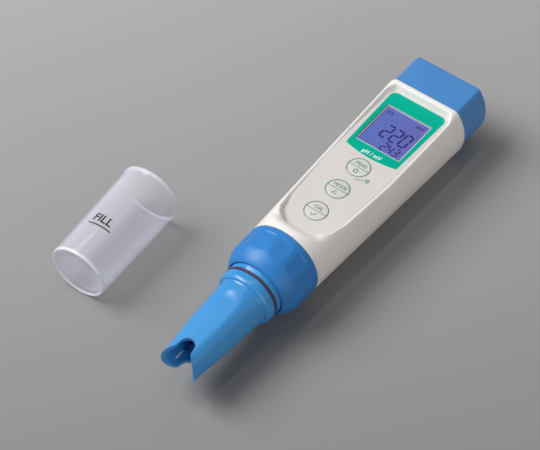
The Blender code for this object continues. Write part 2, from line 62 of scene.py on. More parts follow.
WINDOW_HALF, WINDOW_LOW, WINDOW_HIGH = 11.0, 12.7, 35.7
CRYSTAL_FACE = 8.95
SPIGOT_RADIUS, SPIGOT_BORE, SPIGOT_END = 14.3, 12.3, -60.0
RING_RADIUS, RING_FLAT = 16.65, 16.32
COVER_END, SHOULDER, SHELF, SKIRT_END = 64.0, 47.3, 45.2, 40.9
FILL_LEVEL = 16.0                 # the fill line, from the cup's foot
PRINT_RADIUS, PRINT_LIFT = 13.0, 0.02
CUP_FOOT = (-61.9, -99.7)
CUP_LENGTH, CUP_MOUTH_RADIUS, CUP_END_RADIUS = 48.7, 13.7, 12.5
CUP_TURN = math.radians(3.53)     # the lying cup is turned away from the meter's line
CUP_TILT = math.atan((CUP_MOUTH_RADIUS - CUP_END_RADIUS) / CUP_LENGTH)


# ---------------------------------------------------------------- materials

def colour(code):
    """A linear colour from an sRGB hex code."""
    parts = [int(code[i:i + 2], 16) / 255 for i in (0, 2, 4)]
    linear = [p / 12.92 if p <= 0.04045 else ((p + 0.055) / 1.055) ** 2.4 for p in parts]
    return (*linear, 1.0)


def per(size):
    """A texture scale for features of a size in millimetres."""
    return 1.0 / (size * MM)


def add(tree, kind, links=None, **settings):
    """Add a node, set its properties and inputs by name, and link its inputs."""
    made = tree.nodes.new(kind)
    for name, value in settings.items():
        if hasattr(made, name):
            setattr(made, name, value)
        else:
            made.inputs[name.replace("_", " ")].default_value = value
    for name, source in (links or {}).items():
        tree.links.new(source, made.inputs[name])
    return made


def shader(name, base, roughness, **values):
    """A material with its Principled shader, tree and object coordinates."""
    made = bpy.data.materials.new(name)
    made.use_nodes = True
    tree = made.node_tree
    surface = tree.nodes["Principled BSDF"]
    surface.inputs["Base Color"].default_value = colour(base)
    surface.inputs["Roughness"].default_value = roughness
    for key, value in values.items():
        surface.inputs[key.replace("_", " ")].default_value = value
    place = add(tree, "ShaderNodeTexCoord").outputs["Object"]
    return made, tree, surface, place


def ramp(tree, factor, stops):
    """A colour ramp from (position, hex code) stops."""
    made = add(tree, "ShaderNodeValToRGB", {"Fac": factor})
    points = made.color_ramp.elements
    while len(points) < len(stops):
        points.new(1.0)
    for point, (position, code) in zip(points, stops):
        point.position = position
        point.color = colour(code)
    return made.outputs["Color"]


def moulded(name, base, dark, roughness, grain, depth, **values):
    """Moulded plastic: faint cloudy shade, uneven gloss and the fine texture of the tool."""
    made, tree, surface, place = shader(name, base, roughness, **values)
    cloud = add(tree, "ShaderNodeTexNoise", {"Vector": place}, Scale=per(28.0), Detail=3.0)
    shade = ramp(tree, cloud.outputs["Fac"], [(0.35, dark), (0.62, base)])
    tree.links.new(shade, surface.inputs["Base Color"])
    fine = add(tree, "ShaderNodeTexNoise", {"Vector": place}, Scale=per(grain), Detail=2.0)
    gloss = add(tree, "ShaderNodeMapRange", {"Value": cloud.outputs["Fac"]}, From_Min=0.3, From_Max=0.7,
                To_Min=roughness - 0.04, To_Max=roughness + 0.05)
    tree.links.new(gloss.outputs["Result"], surface.inputs["Roughness"])
    bump = add(tree, "ShaderNodeBump", {"Height": fine.outputs["Fac"]}, Strength=0.35, Distance=depth * MM)
    tree.links.new(bump.outputs["Normal"], surface.inputs["Normal"])
    return made


def abs_white():
    # Injection-moulded ABS: warm white, semi-gloss, with the soft orange peel of a polished tool.
    return moulded("moulded_abs_white", "E6E2DF", "E1DDDA", 0.30, 0.9, 0.010, IOR=1.54)


def film_white():
    # Matt polyester membrane film: slightly warmer than the case, with a fine cast grain.
    return moulded("membrane_film_white", "CCC8C5", "C8C4C1", 0.46, 0.35, 0.006, IOR=1.6,
                   Specular_IOR_Level=0.35)


def film_green():
    # The same film, screen printed teal green from behind, so its front is smooth and glossy.
    return moulded("screen_printed_film_green", "00A58B", "009F86", 0.32, 0.5, 0.004, IOR=1.6,
                   Specular_IOR_Level=0.06)


def abs_cover_blue():
    # Moulded ABS, mid blue, satin from a spark-eroded tool.
    return moulded("moulded_abs_blue", "4884C2", "427EBC", 0.36, 0.55, 0.010, IOR=1.54,
                   Specular_IOR_Level=0.4)


def abs_ring_blue():
    # The ring is the same plastic, a deeper blue.
    return moulded("moulded_abs_deep_blue", "2A79BE", "2473B7", 0.42, 0.55, 0.010, IOR=1.54,
                   Specular_IOR_Level=0.35)


def polycarbonate_blue():
    # The probe is glossy polycarbonate, lighter blue, and lets a little light into its skin.
    return moulded("moulded_polycarbonate_blue", "388FCE", "3288C7", 0.30, 1.2, 0.006, IOR=1.585,
                   Subsurface_Weight=0.12, Subsurface_Scale=0.002)


def ink(name, code):
    # Screen ink: an even, slightly glossy layer.
    return moulded(name, code, code, 0.40, 0.4, 0.002, Specular_IOR_Level=0.15)


def lens_clear():
    # Hard-coated acrylic window: nearly invisible apart from its gloss.
    made, tree, surface, place = shader("hard_coated_acrylic_window", "1C2230", 0.04, IOR=1.49, Alpha=0.04)
    smear = add(tree, "ShaderNodeTexNoise", {"Vector": place}, Scale=per(9.0), Detail=4.0)
    gloss = add(tree, "ShaderNodeMapRange", {"Value": smear.outputs["Fac"]}, To_Min=0.02, To_Max=0.09)
    tree.links.new(gloss.outputs["Result"], surface.inputs["Roughness"])
    return made


def make_display_material():
    # Negative liquid crystal over a blue backlight, faintly dotted by its cells.
    made, tree, surface, place = shader("backlit_liquid_crystal", "6268AC", 0.30, IOR=1.52,
                                         Specular_IOR_Level=0.2)
    split = add(tree, "ShaderNodeSeparateXYZ", {"Vector": place})
    across = add(tree, "ShaderNodeMapRange", {"Value": split.outputs["X"]}, From_Min=-0.011, From_Max=0.011)
    shade = ramp(tree, across.outputs["Result"], [(0.0, "5A6EB6"), (0.45, "5E6CB6"), (1.0, "6867B3")])
    tree.links.new(shade, surface.inputs["Base Color"])
    tree.links.new(shade, surface.inputs["Emission Color"])
    surface.inputs["Emission Strength"].default_value = 0.06
    grid = add(tree, "ShaderNodeTexVoronoi", {"Vector": place}, Scale=per(0.5))
    bump = add(tree, "ShaderNodeBump", {"Height": grid.outputs["Distance"]}, Strength=0.1, Distance=0.01 * MM)
    tree.links.new(bump.outputs["Normal"], surface.inputs["Normal"])
    return made


def clear_polystyrene():
    # Moulded clear styrene: a lilac cast, milkier where it is seen edge on, and a painted highlight round
    # both rims, where the wall is made more opaque and so whiter.
    made, tree, surface, place = shader("moulded_clear_styrene", "F0F0FE", 0.14, IOR=1.57,
                                         Specular_IOR_Level=1.0)
    facing = add(tree, "ShaderNodeLayerWeight", Blend=0.35)
    haze = add(tree, "ShaderNodeTexNoise", {"Vector": place}, Scale=per(14.0), Detail=3.0)
    body = add(tree, "ShaderNodeMapRange", {"Value": facing.outputs["Facing"]}, To_Min=0.10, To_Max=0.36)
    cloud = add(tree, "ShaderNodeMapRange", {"Value": haze.outputs["Fac"]}, To_Min=0.9, To_Max=1.1)
    alpha = add(tree, "ShaderNodeMath", {0: body.outputs["Result"], 1: cloud.outputs["Result"]},
                operation="MULTIPLY")
    lying = cup_place()
    from_foot = add(tree, "ShaderNodeVectorMath", {0: place}, operation="SUBTRACT")
    from_foot.inputs[1].default_value = lying.translation
    along = add(tree, "ShaderNodeVectorMath", {0: from_foot.outputs["Vector"]}, operation="DOT_PRODUCT")
    across = add(tree, "ShaderNodeVectorMath", {0: from_foot.outputs["Vector"]}, operation="CROSS_PRODUCT")
    for step in (along, across):
        step.inputs[1].default_value = lying.col[1].to_3d()
    radius = add(tree, "ShaderNodeVectorMath", {0: across.outputs["Vector"]}, operation="LENGTH")
    # Painted highlight: near the foot and the mouth the outer wall is made more opaque, so a white band shows
    # round each rim.
    wall = add(tree, "ShaderNodeMapRange", {"Value": radius.outputs["Value"]},
               From_Min=11.2 * MM, From_Max=11.6 * MM)
    foot = add(tree, "ShaderNodeMapRange", {"Value": along.outputs["Value"]},
               From_Min=0.8 * MM, From_Max=1.6 * MM, To_Min=0.5, To_Max=0.0)
    mouth = add(tree, "ShaderNodeMapRange", {"Value": along.outputs["Value"]},
                From_Min=(CUP_LENGTH - 1.8) * MM, From_Max=(CUP_LENGTH - 0.9) * MM, To_Max=0.25)
    both = add(tree, "ShaderNodeMath", {0: foot.outputs["Result"], 1: mouth.outputs["Result"]})
    rim_highlight = add(tree, "ShaderNodeMath", {0: both.outputs["Value"], 1: wall.outputs["Result"]},
               operation="MULTIPLY")
    whole = add(tree, "ShaderNodeMath", {0: alpha.outputs["Value"], 1: rim_highlight.outputs["Value"]})
    tree.links.new(whole.outputs["Value"], surface.inputs["Alpha"])
    flow = add(tree, "ShaderNodeMapping", {"Vector": place}, Scale=(1.0, 0.06, 1.0))
    lines = add(tree, "ShaderNodeTexNoise", {"Vector": flow.outputs["Vector"]}, Scale=per(2.5), Detail=1.0)
    bump = add(tree, "ShaderNodeBump", {"Height": lines.outputs["Fac"]}, Strength=0.1, Distance=0.002 * MM)
    tree.links.new(bump.outputs["Normal"], surface.inputs["Normal"])
    return made


def nitrile_rubber(name, code):
    # Moulded nitrile: dull, with a fine talc bloom.
    return moulded(name, code, code, 0.55, 0.3, 0.008)


def glass_stem(name, code, alpha):
    # Drawn soda glass with a thin wall.
    made, tree, surface, place = shader(name, code, 0.05, IOR=1.5, Alpha=alpha)
    seed = add(tree, "ShaderNodeTexNoise", {"Vector": place}, Scale=per(1.5), Detail=2.0)
    gloss = add(tree, "ShaderNodeMapRange", {"Value": seed.outputs["Fac"]}, To_Min=0.03, To_Max=0.1)
    tree.links.new(gloss.outputs["Result"], surface.inputs["Roughness"])
    return made


def drawn_metal(name, code, roughness):
    # Drawn or stamped metal with fine lines along it.
    made, tree, surface, place = shader(name, code, roughness, Metallic=1.0)
    lie = add(tree, "ShaderNodeMapping", {"Vector": place}, Scale=(1.0, 0.08, 1.0))
    lines = add(tree, "ShaderNodeTexNoise", {"Vector": lie.outputs["Vector"]}, Scale=per(0.15), Detail=2.0)
    gloss = add(tree, "ShaderNodeMapRange", {"Value": lines.outputs["Fac"]}, To_Min=roughness - 0.06,
                To_Max=roughness + 0.12)
    tree.links.new(gloss.outputs["Result"], surface.inputs["Roughness"])
    return made


def cell_sleeve():
    # Shrink sleeve on a dry cell: black with a copper-coloured band at its positive end.
    made, tree, surface, place = shader("printed_cell_sleeve", "16161A", 0.28, Coat_Weight=0.4)
    split = add(tree, "ShaderNodeSeparateXYZ", {"Vector": place})
    along = add(tree, "ShaderNodeMapRange", {"Value": split.outputs["Y"]}, From_Min=0.008, From_Max=0.053)
    band = ramp(tree, along.outputs["Result"],
                [(0.0, "B9BBBE"), (0.03, "17171B"), (0.70, "17171B"), (0.705, "B8763A"), (0.96, "B8763A"),
                 (0.965, "C6C8CA")])
    tree.links.new(band, surface.inputs["Base Color"])
    metal = add(tree, "ShaderNodeMapRange", {"Value": along.outputs["Result"]}, From_Min=0.69, From_Max=0.71)
    tree.links.new(metal.outputs["Result"], surface.inputs["Metallic"])
    return made


def circuit_board():
    # Fibreglass board: green mask over faint copper tracks.
    made, tree, surface, place = shader("solder_masked_board", "1B6B3C", 0.35, Coat_Weight=0.3)
    tracks = add(tree, "ShaderNodeTexBrick", {"Vector": place}, Scale=per(2.5),
                 Color1=colour("1B6B3C"), Color2=colour("23784A"), Mortar=colour("2F8B54"))
    tree.links.new(tracks.outputs["Color"], surface.inputs["Base Color"])
    return made


def table_top():
    # Painted board under the object. Its grey lightens softly towards the back: painted light, where the
    # studio light falls brighter on the table.
    made, tree, surface, place = shader("table_painted_light", "808080", 0.66)
    swung = add(tree, "ShaderNodeMapping", {"Vector": place}, Rotation=(0.0, 0.0, math.radians(-20.0)))
    split = add(tree, "ShaderNodeSeparateXYZ", {"Vector": swung.outputs["Vector"]})
    painted_light_falloff = add(tree, "ShaderNodeMapRange", {"Value": split.outputs["Y"]}, From_Min=-0.16, From_Max=0.20)
    shade = ramp(tree, painted_light_falloff.outputs["Result"], [(0.0, "7A7A7A"), (0.5, "929292"), (1.0, "A8A8A8")])
    tree.links.new(shade, surface.inputs["Base Color"])
    return made


# ---------------------------------------------------------------- mesh making

def placed(name, data):
    """A new object in the scene."""
    item = bpy.data.objects.new(name, data)
    bpy.context.scene.collection.objects.link(item)
    return item


def finish_piece(item, name, finish, body, replaces=(), sharp=38.0):
    """Give a finished object its material, shading and body, and hide the CAD parts it replaces."""
    item.name = name
    mesh = item.data
    mesh.name = name
    mesh.materials.clear()
    mesh.materials.append(finish)
    mesh.shade_smooth()
    mesh.set_sharp_from_angle(angle=math.radians(sharp))
    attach(item, body)
    if replaces:
        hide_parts(*replaces)
    return item


def solid(name, points, faces):
    """An object from points in millimetres, merged and with its faces turned outwards."""
    mesh = bpy.data.meshes.new(name)
    mesh.from_pydata([(x * MM, y * MM, z * MM) for x, y, z in points], [], faces)
    shape = bmesh.new()
    shape.from_mesh(mesh)
    bmesh.ops.remove_doubles(shape, verts=shape.verts, dist=0.000002)
    bmesh.ops.recalc_face_normals(shape, faces=shape.faces)
    shape.to_mesh(mesh)
    shape.free()
    return placed(name, mesh)


def belt(near, far, count):
    """The faces between two rings of points, given by their places in the list of rings."""
    steps = [(j, (j + 1) % count) for j in range(count)]
    return [(near * count + j, near * count + k, far * count + k, far * count + j) for j, k in steps]


def fan(ring, middle, count):
    """The faces between a ring and a point in its middle."""
    return [(ring * count + j, ring * count + (j + 1) % count, middle) for j in range(count)]


def skin(name, rings, loop=False):
    """A closed solid through rings of points, with a fan at each end, or joined end to end."""
    count = len(rings[0])
    points = [tuple(p) for ring in rings for p in ring]
    faces = []
    pairs = [(i, i + 1) for i in range(len(rings) - 1)]
    if loop:
        pairs.append((len(rings) - 1, 0))
    for near, far in pairs:
        faces += belt(near, far, count)
    if not loop:
        for ring in (0, len(rings) - 1):
            middle = len(points)
            points.append(tuple(np.mean(rings[ring], axis=0)))
            faces += fan(ring, middle, count)
    return solid(name, points, faces)


def turned(name, profile, at=(0.0, AXIS), steps=128):
    """A solid turned about a line along Y from (radius, y) points. It is closed by fans or end to end."""
    angles = np.arange(steps) * 2 * math.pi / steps
    loop = profile[0][0] > 0.01 and profile[-1][0] > 0.01
    rings = [np.stack([at[0] + r * np.sin(angles), np.full(steps, y), at[1] + r * np.cos(angles)], 1)
             for r, y in profile if loop or r > 0.01]
    return skin(name, rings, loop)


def carve(item, *cutters):
    """Cut solids out of an object for good."""
    for cutter in cutters:
        step = item.modifiers.new("carve", "BOOLEAN")
        step.operation = "DIFFERENCE"
        step.object = cutter
        step.solver = "EXACT"
    mesh = evaluated(item)
    item.modifiers.clear()
    item.data = mesh
    for cutter in cutters:
        bpy.data.objects.remove(cutter, do_unlink=True)
    return item


def evaluated(item):
    graph = bpy.context.evaluated_depsgraph_get()
    graph.update()
    return bpy.data.meshes.new_from_object(item.evaluated_get(graph))


def arc(centre, radius, start, end, count):
    angles = np.radians(np.linspace(start, end, count + 1))
    return [(centre[0] + radius * math.cos(a), centre[1] + radius * math.sin(a)) for a in angles]


def circle(x, y, radius, count=96):
    return arc((x, y), radius, 0.0, 360.0 * (count - 1) / count, count - 1)


def rectangle(half, low, high, radius, count=8):
    corners = [(half - radius, low + radius, -90), (half - radius, high - radius, 0),
               (radius - half, high - radius, 90), (radius - half, low + radius, 180)]
    return [p for x, y, start in corners for p in arc((x, y), radius, start, start + 90, count)]


def plate(name, loops, low, high, bevel=0.0):
    """A flat plate from an outline and its holes, between two heights above the axis."""
    curve = bpy.data.curves.new(name, "CURVE")
    curve.dimensions = "2D"
    curve.fill_mode = "BOTH"
    curve.extrude = (high - low) * MM / 2 - bevel * MM
    curve.bevel_depth = bevel * MM
    curve.bevel_resolution = 1
    for loop in loops:
        spline = curve.splines.new("POLY")
        spline.points.add(len(loop) - 1)
        spline.use_cyclic_u = True
        for point, (x, y) in zip(spline.points, loop):
            point.co = (x * MM, y * MM, 0.0, 1.0)
    return settled(curve, name, (low + high) / 2)


def settled(curve, name, height):
    """A mesh object from a flat curve or a text, raised to a height above the axis."""
    drawn = placed(name, curve)
    mesh = evaluated(drawn)
    bpy.data.objects.remove(drawn, do_unlink=True)
    shape = bmesh.new()
    shape.from_mesh(mesh)
    bmesh.ops.remove_doubles(shape, verts=shape.verts, dist=0.000002)
    bmesh.ops.translate(shape, vec=(0.0, 0.0, (AXIS + height) * MM), verts=shape.verts)
    bmesh.ops.recalc_face_normals(shape, faces=shape.faces)
    shape.to_mesh(mesh)
    shape.free()
    return placed(name, mesh)


def merged(name, items):
    """One object from several, which are removed."""
    shape = bmesh.new()
    for item in items:
        shape.from_mesh(item.data)
        bpy.data.objects.remove(item, do_unlink=True)
    mesh = bpy.data.meshes.new(name)
    shape.to_mesh(mesh)
    shape.free()
    return placed(name, mesh)


# ---------------------------------------------------------------- geometry nodes

def group_input(tree, name, kind, value):
    socket = tree.interface.new_socket(name=name, in_out="INPUT", socket_type=kind)
    if value is not None:
        socket.default_value = value
    return socket.identifier


def stroke_tree():
    """Turns every edge path into a printed bar of an even width and thickness."""
    tree = bpy.data.node_groups.new("printed_strokes", "GeometryNodeTree")
    keys = {"Paths": group_input(tree, "Paths", "NodeSocketGeometry", None),
            "Width": group_input(tree, "Width", "NodeSocketFloat", 0.3 * MM),
            "Thickness": group_input(tree, "Thickness", "NodeSocketFloat", 0.04 * MM),
            "Ink": group_input(tree, "Ink", "NodeSocketMaterial", None)}
    tree.interface.new_socket(name="Strokes", in_out="OUTPUT", socket_type="NodeSocketGeometry")
    given = add(tree, "NodeGroupInput")
    path = add(tree, "GeometryNodeMeshToCurve", {"Mesh": given.outputs["Paths"]})
    flat = add(tree, "GeometryNodeSetCurveNormal", {"Curve": path.outputs["Curve"]}, mode="Z_UP")
    bar = add(tree, "GeometryNodeCurvePrimitiveQuadrilateral",
              {"Width": given.outputs["Width"], "Height": given.outputs["Thickness"]})
    bars = add(tree, "GeometryNodeCurveToMesh", {"Curve": flat.outputs["Curve"],
                                                 "Profile Curve": bar.outputs["Curve"]}, Fill_Caps=True)
    real = add(tree, "GeometryNodeRealizeInstances", {"Geometry": bars.outputs["Mesh"]})
    inked = add(tree, "GeometryNodeSetMaterial", {"Geometry": real.outputs["Geometry"],
                                                  "Material": given.outputs["Ink"]})
    add(tree, "NodeGroupOutput", {"Strokes": inked.outputs["Geometry"]})
    return tree, keys


def coil_tree():
    """Winds a conical wire spring along Y."""
    tree = bpy.data.node_groups.new("conical_spring", "GeometryNodeTree")
    keys = {"Carrier": group_input(tree, "Carrier", "NodeSocketGeometry", None),
            "Turns": group_input(tree, "Turns", "NodeSocketFloat", 3.5),
            "Wire": group_input(tree, "Wire", "NodeSocketFloat", 0.25 * MM),
            "Narrow": group_input(tree, "Narrow", "NodeSocketFloat", 1.3 * MM),
            "Wide": group_input(tree, "Wide", "NodeSocketFloat", 3.3 * MM),
            "Height": group_input(tree, "Height", "NodeSocketFloat", 1.6 * MM),
            "Metal": group_input(tree, "Metal", "NodeSocketMaterial", None)}
    tree.interface.new_socket(name="Spring", in_out="OUTPUT", socket_type="NodeSocketGeometry")
    given = add(tree, "NodeGroupInput")
    coil = add(tree, "GeometryNodeCurveSpiral", {"Rotations": given.outputs["Turns"],
                                                 "Start Radius": given.outputs["Wide"],
                                                 "End Radius": given.outputs["Narrow"],
                                                 "Height": given.outputs["Height"]}, Resolution=24)
    wire = add(tree, "GeometryNodeCurvePrimitiveCircle", {"Radius": given.outputs["Wire"]}, Resolution=8)
    tube = add(tree, "GeometryNodeCurveToMesh", {"Curve": coil.outputs["Curve"],
                                                 "Profile Curve": wire.outputs["Curve"]}, Fill_Caps=True)
    lying = add(tree, "GeometryNodeTransform", {"Geometry": tube.outputs["Mesh"]},
                Rotation=(-math.pi / 2, 0.0, 0.0))
    real = add(tree, "GeometryNodeRealizeInstances", {"Geometry": lying.outputs["Geometry"]})
    done = add(tree, "GeometryNodeSetMaterial", {"Geometry": real.outputs["Geometry"],
                                                 "Material": given.outputs["Metal"]})
    add(tree, "NodeGroupOutput", {"Spring": done.outputs["Geometry"]})
    return tree, keys


def grown(name, carrier, tree_and_keys, values, place=(0.0, 0.0, 0.0)):
    """Run a tree on a carrier mesh and keep the result as a plain mesh moved to its place."""
    tree, keys = tree_and_keys
    maker = placed(name + "_maker", carrier)
    step = maker.modifiers.new("grow", "NODES")
    step.node_group = tree
    for label, value in values.items():
        step[keys[label]] = value
    mesh = evaluated(maker)
    bpy.data.objects.remove(maker, do_unlink=True)
    shape = bmesh.new()
    shape.from_mesh(mesh)
    bmesh.ops.remove_doubles(shape, verts=shape.verts, dist=0.000001)
    bmesh.ops.translate(shape, vec=[p * MM for p in place], verts=shape.verts)
    bmesh.ops.recalc_face_normals(shape, faces=shape.faces)
    shape.to_mesh(mesh)
    shape.free()
    return placed(name, mesh)


def strokes(name, paths, width, thickness, height, ink_material, tree_and_keys):
    """Printed lines from lists of (x, y) points, on a surface at a height above the axis."""
    points, edges = [], []
    for path in paths:
        first = len(points)
        points += [(x * MM, y * MM, 0.0) for x, y in path]
        edges += [(first + i, first + i + 1) for i in range(len(path) - 1)]
    carrier = bpy.data.meshes.new(name)
    carrier.from_pydata(points, edges, [])
    values = {"Width": width * MM, "Thickness": thickness * MM, "Ink": ink_material}
    return grown(name, carrier, tree_and_keys, values, (0.0, 0.0, AXIS + height))


# ---------------------------------------------------------------- the case

def soft_limit(value, limit, soft):
    blend = np.maximum(soft - np.abs(value - limit), 0.0) / soft
    return np.minimum(value, limit) - blend * blend * soft / 4


def body_radius(y):
    return END_RADIUS + (TOP_RADIUS - END_RADIUS) * (y - BODY_END) / (BODY_TOP - BODY_END)


def body_front(y):
    """The height of the front flat, which fades into the round end."""
    share = min(max((y - BODY_END) / FRONT_FADE, 0.0), 1.0)
    ease = share * share * (3 - 2 * share)
    return FRONT + (END_RADIUS + FRONT_SOFT - FRONT) * (1 - ease)


def recess_side(y):
    """Half width of the recess in the front."""
    return float(np.interp(y, [-48.0, -27.0, 0.0, 42.0], [10.8, 12.3, 14.2, 14.4]))


def recess_outline(margin):
    side = [(12.3 - margin, -27.0), (14.2 - margin, 0.0)]
    bottom = arc((0.0, RECESS_END + margin + 12.0), 12.0, -90.0, -28.0, 24)
    top = arc((11.9 - margin, RECESS_TOP - margin - 2.5), 2.5, 0.0, 90.0, 10)
    right = bottom + side + top
    return right + [(-x, y) for x, y in reversed(right) if abs(x) > 1e-6]


def case_angles(y, radius):
    """Angles round a section, closest together along the sides of the recess."""
    side = recess_side(y)
    across = np.concatenate([np.linspace(0.0, 0.88, 20), np.linspace(0.90, 1.20, 21)]) * side
    near = np.arcsin(across / radius)
    far = np.linspace(near[-1], math.pi, 46)[1:]
    half = np.concatenate([near, far])
    return np.concatenate([half, 2 * math.pi - half[-2:0:-1]])


def section(angles, radius, front, back, soft=FRONT_SOFT):
    height = soft_limit(radius * np.cos(angles), front, soft)
    height = -soft_limit(-height, back, BACK_SOFT)
    return radius * np.sin(angles), height


def case_ring(y, inset, front=None, at=None):
    """A ring of the case at a place along it, drawn in by an inset."""
    station = min(max(y, BODY_END), BODY_TOP)
    radius = body_radius(station)
    angles = case_angles(station, radius)
    limit = body_front(station) - inset if front is None else front
    x, z = section(angles, radius - inset, limit, AXIS - inset)
    return np.stack([x, np.full_like(x, y if at is None else at), z], 1)


def round_ring(y, radius):
    angles = case_angles(max(y, BODY_END), body_radius(max(y, BODY_END)))
    return np.stack([radius * np.sin(angles), np.full_like(angles, y), radius * np.cos(angles)], 1)


def inside_distance(points, outline):
    """Distance of each (x, y) from an outline, positive inside it."""
    loop = np.array(outline)
    start, end = loop, np.roll(loop, -1, axis=0)
    along = end - start
    offset = points[:, None, :] - start[None]
    share = np.clip((offset * along).sum(2) / (along * along).sum(1), 0.0, 1.0)
    gap = np.sqrt(((offset - share[..., None] * along) ** 2).sum(2)).min(1)
    crosses = (start[:, 1] > points[:, None, 1]) != (end[:, 1] > points[:, None, 1])
    slope = along[:, 0] / np.where(along[:, 1] == 0, 1e-9, along[:, 1])
    reach = (points[:, None, 1] - start[:, 1]) * slope + start[:, 0]
    inside = (crosses & (points[:, None, 0] < reach)).sum(1) % 2 == 1
    return np.where(inside, gap, -gap)


def sink_recess(ring, outline):
    """Lower the front of a ring into the recess, down a soft wall."""
    front = ring[:, 2] > 4.0      # only the side that faces out
    y = ring[0, 1]
    stations = [-41.0, -30.0, 40.0, 43.5]
    wall = float(np.interp(y, stations, [3.4, 2.3, 2.2, 1.6]))
    start = float(np.interp(y, stations, [2.75, 1.95, 1.9, 0.8]))
    depth = inside_distance(ring[front][:, :2], outline)
    share = np.clip((depth + start) / wall, 0.0, 1.0)
    ease = share * share * (3 - 2 * share)
    height = ring[front, 2]
    ring[front, 2] = height - np.maximum(height - RECESS_FLOOR, 0.0) * ease
    return ring


def make_case(white):
    """The hollow case with its recessed front and openings for the window, the keys and the socket."""
    outline = recess_outline(0.0)
    rings = [round_ring(-45.0, SPIGOT_BORE), round_ring(SPIGOT_END, SPIGOT_BORE),
             round_ring(SPIGOT_END, SPIGOT_RADIUS - 0.2), round_ring(SPIGOT_END + 0.2, SPIGOT_RADIUS),
             round_ring(BODY_END, SPIGOT_RADIUS)]
    rings += [case_ring(y, inset) for y, inset in ((-48.0, 0.5), (-47.95, 0.2), (-47.8, 0.04))]
    places = np.concatenate([np.linspace(-47.6, -33.0, 42), np.linspace(-32.2, 38.0, 62),
                             np.linspace(38.6, 46.6, 28)])
    rings += [sink_recess(case_ring(float(y), 0.0), outline) for y in places]
    rim = ((0.05, 46.8), (0.15, 46.95), (0.35, 47.0), (1.0, 47.0), (1.2, 46.8))
    rings += [case_ring(BODY_TOP, inset, at=y) for inset, y in rim]
    rings += [case_ring(45.2, 1.2), case_ring(45.2, 1.2, CEILING), case_ring(40.5, 1.2, CEILING),
              case_ring(40.5, 2.3, CEILING), case_ring(38.5, 2.3, CEILING), case_ring(38.5, 1.5, CEILING)]
    rings += [case_ring(y, 1.5, CEILING) for y in (20.0, 0.0, -20.0, -40.0)]
    for ring in rings:
        ring[:, 2] += AXIS
    case = skin("case_shell", rings)
    window = plate("window_cutter", [rectangle(11.1, 12.6, 35.8, 0.6)], 6.0, 12.0)
    holes = [plate("hole_cutter", [circle(0.0, y, 5.3)], 6.0, 12.0) for y in KEY_Y.values()]
    socket = plate("socket_cutter", [rectangle(6.0, -46.0, -39.0, 0.3)], -2.5, 2.5)
    carve(case, merged("case_cutters", [window, *holes, socket]))
    finish_piece(case, "case_shell", white, "meter", ["housing"], 50.0)


def label_edge(sag, corner, half, count=16):
    shares = np.linspace(-1.0, 1.0, count + 1)
    return [(half * t, corner - sag * (1 - t * t)) for t in shares]


def make_front(film, green, white_ink):
    window = rectangle(WINDOW_HALF, WINDOW_LOW, WINDOW_HIGH, 0.5)
    keys = [circle(0.0, y, KEY_RADIUS + KEY_GAP) for y in KEY_Y.values()]
    sheet = plate("keypad_film", [recess_outline(-0.25), window] + keys, 9.4, FILM_TOP)
    finish_piece(sheet, "keypad_film", film, "meter", ["keypad_overlay"])
    top = arc((10.6, 40.4), 2.7, 0.0, 90.0, 10)
    outline = label_edge(1.6, 8.75, 12.35) + top + [(-x, y) for x, y in reversed(top)]
    opening = rectangle(WINDOW_HALF - 0.1, WINDOW_LOW - 0.1, WINDOW_HIGH + 0.1, 0.4)
    label = plate("green_label", [outline, opening], FILM_TOP - 0.1, LABEL_TOP)
    finish_piece(label, "green_label", green, "meter", ["label_bezel"], 20.0)
    words = lettering("unit_words", "pH / mV", 2.9, (0.0, 9.2), LABEL_TOP)
    finish_piece(words, "unit_words", white_ink, "meter")


def lettering(name, text, size, centre, height, bold=0.03, thickness=0.03, narrow=0.9):
    """Raised print of generic words, centred on a point of the front."""
    curve = bpy.data.curves.new(name, "FONT")
    curve.body = text
    curve.size = size * MM
    curve.align_x = "CENTER"
    curve.align_y = "CENTER"
    curve.extrude = thickness * MM / 2
    curve.offset = bold * MM
    curve.resolution_u = 4
    item = settled(curve, name, height + thickness / 2)
    shape = bmesh.new()
    shape.from_mesh(item.data)
    bmesh.ops.scale(shape, vec=(narrow, 1.0, 1.0), verts=shape.verts)
    bmesh.ops.translate(shape, vec=(centre[0] * MM, centre[1] * MM, 0.0), verts=shape.verts)
    shape.to_mesh(item.data)
    shape.free()
    return item


# ---------------------------------------------------------------- keys and display

